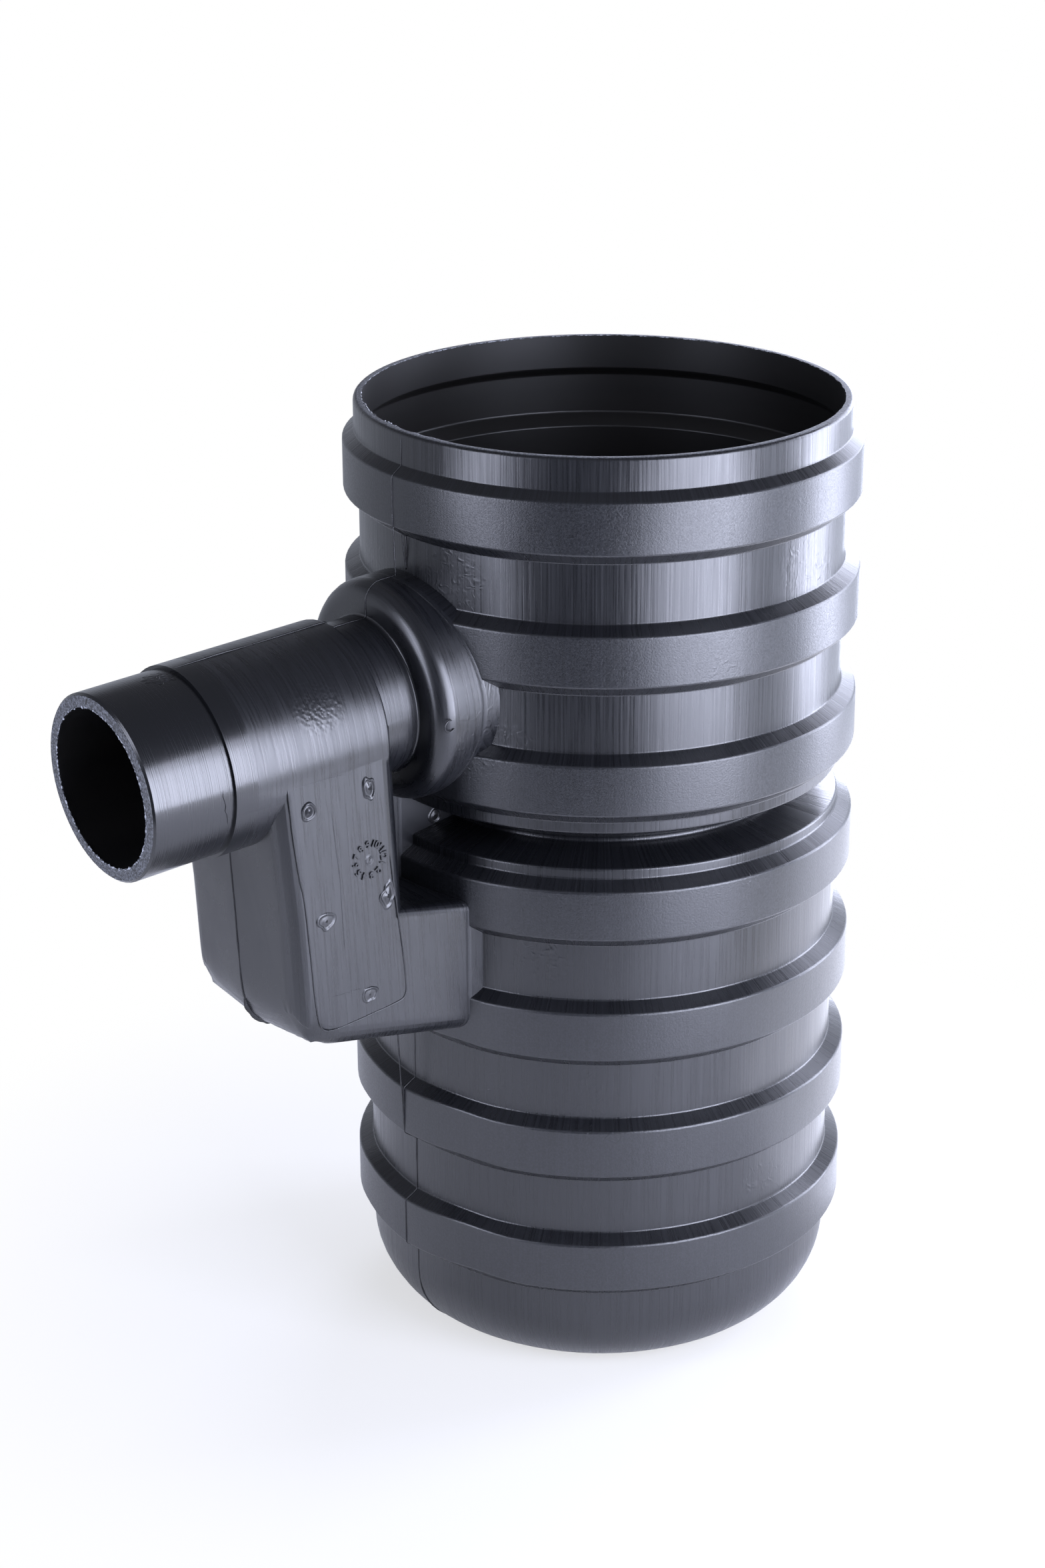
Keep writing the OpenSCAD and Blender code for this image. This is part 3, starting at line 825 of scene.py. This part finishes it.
def insert_outline():
    """The edge of the mould's insert plate and three faint lines across it: beads whose size wavers."""
    beads = []
    for k, (path, wide, tall) in enumerate((
        (rounded(INSERT_EDGE), 0.42, 0.45),
        (np.array([(273.6, -9.6), (234.8, -11.5)]), 0.22, 0.16),
        (np.array([(258.0, -145.8), (230.7, -147.7)]), 0.22, 0.16),
        (np.array([(246.0, -30.0), (243.5, -75.0), (244.0, -120.0)]), 0.2, 0.12),
    )):
        points, normals = even_line(at_outlet(path[:, 0], FLAT_SIDE, path[:, 1]), NEAR, 0.8 * MM)
        n = len(points)
        width = wide * MM * (1 + 0.3 * drift(n, 41 + k, 12))
        height = tall * MM * (1 + 0.4 * drift(n, 51 + k, 20))
        beads.append(bead(points, normals, width, height))
    bead_mesh("insert_outline", beads, SKIN)


def round_mark(centre, size, height, seed, ragged, rows=12):
    """A round mark on a flat side, seen with the outlet's way out to the left. Over radius r and turn t the
    surface stands height(r) high. Its edge and its height waver with the turn, by sums of five and of four
    cosines with random phases."""
    cols = 40
    r = np.linspace(0, 1, rows)[:, None]
    t = np.linspace(0, 2 * np.pi, cols, endpoint=False)[None, :]
    rng = np.random.default_rng(seed)
    edge = 1 + sum(ragged / k * np.cos(k * t + rng.uniform(0, 6.28)) * rng.uniform(0.3, 1) for k in range(2, 7))
    tall = height(r) * (1 + 0.35 * sum(np.cos(k * t + rng.uniform(0, 6.28)) / k for k in range(1, 5)) * r)
    reach = np.array(size)[:, None, None] * MM * r * edge
    flat = -ALONG * (reach[0] * np.cos(t))[..., None] + RISE * (reach[1] * np.sin(t))[..., None]
    return centre + flat + NEAR * (tall * MM)[..., None]


def rimmed(tall, dome):
    """Gives a height over radius r: tall times the bell curve of (r - 0.78) / 0.1, which is the rim, plus dome
    times 1 - (r / 0.5)^2 inside it, less 0.25 r^6, which sinks the edge into the skin."""

    def height(r):
        rim = tall * np.exp(-(((r - 0.78) / 0.1) ** 2))
        return rim + dome * np.clip(1 - (r / 0.5) ** 2, 0, 1) - 0.25 * r**6

    return height


def vent_marks():
    """Where the mould's vents were: puckered rings on the leg's flat side and on the web."""
    marks = []
    for seed, (place, size, tall, dome, ragged) in enumerate((
        ((261.3, FLAT_SIDE, -26.7), (6.0, 6.0), 1.3, 1.5, 0.14),
        ((219.5, FLAT_SIDE, -24.9), (5.0, 8.0), 1.3, 0.8, 0.35),
        ((254.9, FLAT_SIDE, -97.1), (7.0, 6.5), 0.9, 0.3, 0.35),
        ((228.7, FLAT_SIDE, -153.3), (6.0, 6.0), 0.9, 0.2, 0.3),
        ((211.5, FLAT_SIDE, -95.0), (5.5, 10.0), 0.8, 0.8, 0.4),
        ((136.5, WEB_FACE, -85.0), (5.5, 5.5), 0.9, 0.5, 0.2),
    ), 1):
        marks.append(round_mark(at_outlet(*place), size, rimmed(tall, dome), seed, ragged))
    mark_mesh("vent_marks", marks, SKIN)


DIAL = at_outlet(222.5, FLAT_SIDE, -68.8)  # the middle of the month dial


def dial_numbers():
    """The twelve months on a plain dial, their feet towards its middle: figures in 6 mm type on a ring of
    9.7 mm radius, 0.9 mm proud. 12 is on the pot's side, and the rest follow clockwise."""
    points, faces, first = [], [], 0
    for number in range(1, 13):
        curve = bpy.data.curves.new(f"number_{number}", "FONT")
        curve.body = str(number)
        curve.size = 6.0 * MM
        curve.extrude = 0.9 * MM
        curve.offset = 0.15 * MM
        curve.align_x, curve.align_y = "CENTER", "CENTER"
        text = placed(f"number_{number}", curve)
        mesh = bpy.data.meshes.new_from_object(text.evaluated_get(bpy.context.evaluated_depsgraph_get()))
        flat = read_points(mesh)
        turn = math.radians(3 - 30 * number)
        out = -math.cos(turn) * ALONG + math.sin(turn) * RISE
        across = -math.sin(turn) * ALONG - math.cos(turn) * RISE
        points.append(DIAL + 9.7 * MM * out + flat[:, :1] * across + flat[:, 1:2] * out + flat[:, 2:] * NEAR)
        faces += [[first + corner for corner in face.vertices] for face in mesh.polygons]
        first += len(flat)
        bpy.data.objects.remove(text)
        bpy.data.meshes.remove(mesh)
        bpy.data.curves.remove(curve)
    # The figures take the flash's darker colour, which is painted shade for the shadow round each raised
    # figure.
    mesh_object("dial_numbers", np.concatenate(points), faces, FLASH_PAINTED_SHADE, smooth=False)


def dial_disc():
    """The disc in the dial's middle, 0.35 mm proud, with a groove at 0.8 of its radius and a rounded edge."""

    def height(r):
        groove = 0.25 * np.exp(-(((r - 0.8) / 0.06) ** 2))
        return 0.35 * np.clip(1 - r**8, 0, 1) - groove - 0.1 * r**8

    mark_mesh("dial_disc", [round_mark(DIAL, (3.5, 3.5), height, 7, 0.02, 20)], SKIN)


def dial_arrow():
    """The arrow on the disc: a shaft and two barbs, each a bead."""
    slope = math.radians(58)
    ahead = math.sin(slope) * RISE - math.cos(slope) * ALONG
    left = math.cos(slope) * RISE + math.sin(slope) * ALONG
    beads = []
    for start, stop in (((-2.4, 0), (2.4, 0)), ((2.4, 0), (1.1, 0.9)), ((2.4, 0), (1.1, -0.9))):
        ends = np.array([start, stop])
        line = DIAL + (ends[:, :1] * ahead + ends[:, 1:] * left) * MM + 0.32 * MM * NEAR
        line, normals = even_line(line, NEAR, 0.3 * MM)
        beads.append(bead(line, normals, 0.3 * MM, 0.25 * MM, 2))
    bead_mesh("dial_arrow", beads, FLASH_PAINTED_SHADE)


def boss_ring():
    """A small open ring left by a mould pin on the boss's side: a bead on a circle of 3.6 mm radius, wrapped on
    the boss's round."""
    turn = np.radians(np.linspace(-150, 120, 60))
    l = 168.4 + 3.6 * np.cos(turn)
    around = -2.7 + math.degrees(1 / BOSS_RADIUS) * 3.6 * np.sin(turn)
    points = on_round(l, around, BOSS_RADIUS + 0.05, BOSS_RISE)
    from_axis = points - ROOT - RISE * BOSS_RISE * MM
    out = unit(from_axis - (from_axis @ ALONG)[:, None] * ALONG)
    points, out = even_run(points, out, 0.3 * MM)
    bead_mesh("boss_ring", [bead(points, out, 0.4 * MM, 0.45 * MM, 3)], SKIN)


def web_bead():
    """A bead of melt in the corner of the web, whose width and height are 2 mm times the sine of pi times the
    share of the way, to the power 0.6."""
    drop = at_outlet(np.linspace(157.6, 162.2, 12), WEB_FACE - 1.0, np.linspace(-107.0, -110.5, 12))
    size = 2.0 * MM * np.sin(np.linspace(0, np.pi, 12)) ** 0.6
    bead_mesh("web_bead", [bead(drop, np.broadcast_to(NEAR, drop.shape), size, size, 1)], SKIN)


insert_outline()
vent_marks()
dial_numbers()
dial_disc()
dial_arrow()
boss_ring()
web_bead()

# ---------------------------------------------------------------- floor, light and camera
RIGHT_WALL = math.radians(-15)  # the way from the pot to the room's bright wall, on the floor
BACK_WALL = math.radians(95)  # and to its paler back wall
DAYLIGHT = linear("e3e8ff")[:3]  # the lamps' colour
WHITE = (1.0, 1.0, 1.0, 1.0)


def floor():
    """A round white paper table top, 2.1 m across, that keeps the shadow. To the camera it also glows: six
    tenths white within 0.22 m of the pot's axis, all white beyond 0.55 m. In reflections it glows white as
    well,
    more and more towards the right: a painted pool of light on the floor, which no lamp makes."""
    rows, cols = 3, 96
    r = 1.05 * np.linspace(0, 1, rows)[:, None]
    t = np.linspace(0, 2 * np.pi, cols, endpoint=False)
    grid = np.stack([r * np.cos(t), r * np.sin(t), np.full((rows, cols), -0.2 * MM)], -1)
    mesh = bpy.data.meshes.new("table_top")
    mesh.from_pydata(grid.reshape(-1, 3).tolist(), [], grid_faces(rows, cols, True).tolist())
    material = bpy.data.materials.new("WhitePaper")
    node = cleared(material)
    paper = node("BsdfDiffuse", {"Color": linear("fafafc")})
    glow = node("Emission", {"Color": WHITE, "Strength": 1.0})
    ray = node("LightPath").node.outputs
    spot = node("TexCoord", output="Object")
    away = node("VectorMath", (spot,), "Value", operation="LENGTH")
    far = node("MapRange", (away, 0.22, 0.55, 0.6, 1.0), **EASED)
    to_camera = node("Math", (ray["Is Camera Ray"], far), operation="MULTIPLY")
    # Painted reflection: glossy rays see the paper glow white, with a share from 0.15 at x = 0.05 m to 0.8 at x
    # = 0.45 m.
    mirrored = node("Math", (ray["Is Glossy Ray"], ray["Is Transmission Ray"]), operation="MAXIMUM")
    to_right = node("SeparateXYZ", (spot,), "X")
    bright = node("MapRange", (to_right, 0.05, 0.45, 0.15, 0.8), **EASED)
    in_mirror = node("Math", (mirrored, bright), operation="MULTIPLY")
    share = node("Math", (to_camera, in_mirror), operation="MAXIMUM")
    node("OutputMaterial", (node("MixShader", (share, paper, glow)),))
    mesh.materials.append(material)
    top = placed("table_top", mesh)


def room():
    """The room: white to the camera, and for light and reflections a dim ceiling over a pale horizon, which is
    brightest at the right wall and paler than the rest at the back."""
    world = bpy.data.worlds.new("studio")
    bpy.context.scene.world = world
    node = cleared(world)
    way = node("TexCoord")
    level = (0.08, 0.085, 0.1, 1)
    for angle, start, stop, wall in (
        (RIGHT_WALL, -0.2, 0.9, (1.4, 1.5, 1.8, 1)),
        (BACK_WALL, 0.3, 0.9, (0.5, 0.53, 0.62, 1)),
    ):
        wall_way = (math.cos(angle), math.sin(angle), 0.0)
        to_wall = node("VectorMath", (way, wall_way), "Value", operation="DOT_PRODUCT")
        near = node("MapRange", (to_wall, start, stop), **EASED)
        level = node("Mix", {SHARE: near, A_COLOUR: level, B_COLOUR: wall}, **COLOURS)
    high = node("MapRange", (node("SeparateXYZ", (way,), "Z"), 0.1, 0.5), **EASED)
    ceiling = (0.15, 0.155, 0.18, 1)
    level = node("Mix", {SHARE: high, A_COLOUR: level, B_COLOUR: ceiling}, **COLOURS)
    light = node("Background", {"Color": level, "Strength": 1.0})
    white = node("Background", {"Color": WHITE, "Strength": 1.0})
    node("OutputWorld", (node("MixShader", (node("LightPath", output="Is Camera Ray"), light, white)),))


def soft_lamp(name, place, turn, width, length, glow):
    """A rectangular lamp that the camera doesn't see; glow is its brightness, where white paper is 1."""
    lamp = bpy.data.lights.new(name, "AREA")
    lamp.shape = "RECTANGLE"
    lamp.size, lamp.size_y = width, length
    lamp.energy = glow * math.pi * width * length
    lamp.color = DAYLIGHT
    stand = placed(name, lamp)
    stand.location, stand.rotation_euler = place, turn
    stand.visible_camera = False


def panel(name, azimuth, distance, low, high, width, glow):
    """An upright panel lamp that faces the pot's axis, with its lower and upper edge at these heights."""
    a = math.radians(azimuth)
    inward = Vector((-math.cos(a), -math.sin(a), 0))
    place = -inward * distance + Vector((0, 0, (low + high) / 2))
    soft_lamp(name, place, inward.to_track_quat("-Z", "Y").to_euler(), width, high - low, glow)


def light_sheet(name, azimuth, distance, depth, width, glow):
    """A glowing sheet that lies on the table beside the pot and shines up."""
    a = math.radians(azimuth)
    place = (math.cos(a) * distance, math.sin(a) * distance, 4 * MM)
    soft_lamp(name, place, (math.pi, 0, a + math.pi / 2), width, depth, glow)


def camera():
    """A long lens on the pot, at the height of a standing viewer's chest."""
    lens = bpy.data.cameras.new("viewer")
    lens.sensor_width, lens.sensor_fit, lens.lens = 36.0, "HORIZONTAL", 106.37
    lens.clip_end = 50
    yaw, pitch, roll = 0.9058, -0.3765, -0.0035
    ahead = Vector((math.cos(yaw) * math.cos(pitch), math.sin(yaw) * math.cos(pitch), math.sin(pitch)))
    side = ahead.cross(Vector((0, 0, 1))).normalized()
    up = side.cross(ahead)
    side, up = math.cos(roll) * side + math.sin(roll) * up, -math.sin(roll) * side + math.cos(roll) * up
    viewer = placed("viewer", lens)
    turn = Matrix((side, up, -ahead)).transposed().to_4x4()
    viewer.matrix_world = Matrix.Translation((-1.15689, -1.39540, 1.06277)) @ turn
    bpy.context.scene.camera = viewer


floor()
room()
# azimuth in degrees, distance, lower and upper edge and width in metres, and glow
panel("front_right", -89, 1.25, 0.0, 1.2, 0.85, 8.4)
panel("front_strip", -75, 1.2, 0.0, 0.9, 0.3, 4.4)
panel("low_right", -20, 1.25, 0.0, 1.2, 0.5, 10.7)
panel("back_right", 40, 1.2, 0.0, 1.3, 0.6, 6.5)
panel("left", -182, 1.3, 0.05, 1.2, 0.55, 5.6)
panel("near_right", 10, 0.62, 0.5, 0.85, 0.45, 4.0)
light_sheet("table_right", -5, 0.62, 0.8, 1.0, 2.0)
camera()

scene = bpy.context.scene
scene.view_settings.view_transform = "Standard"
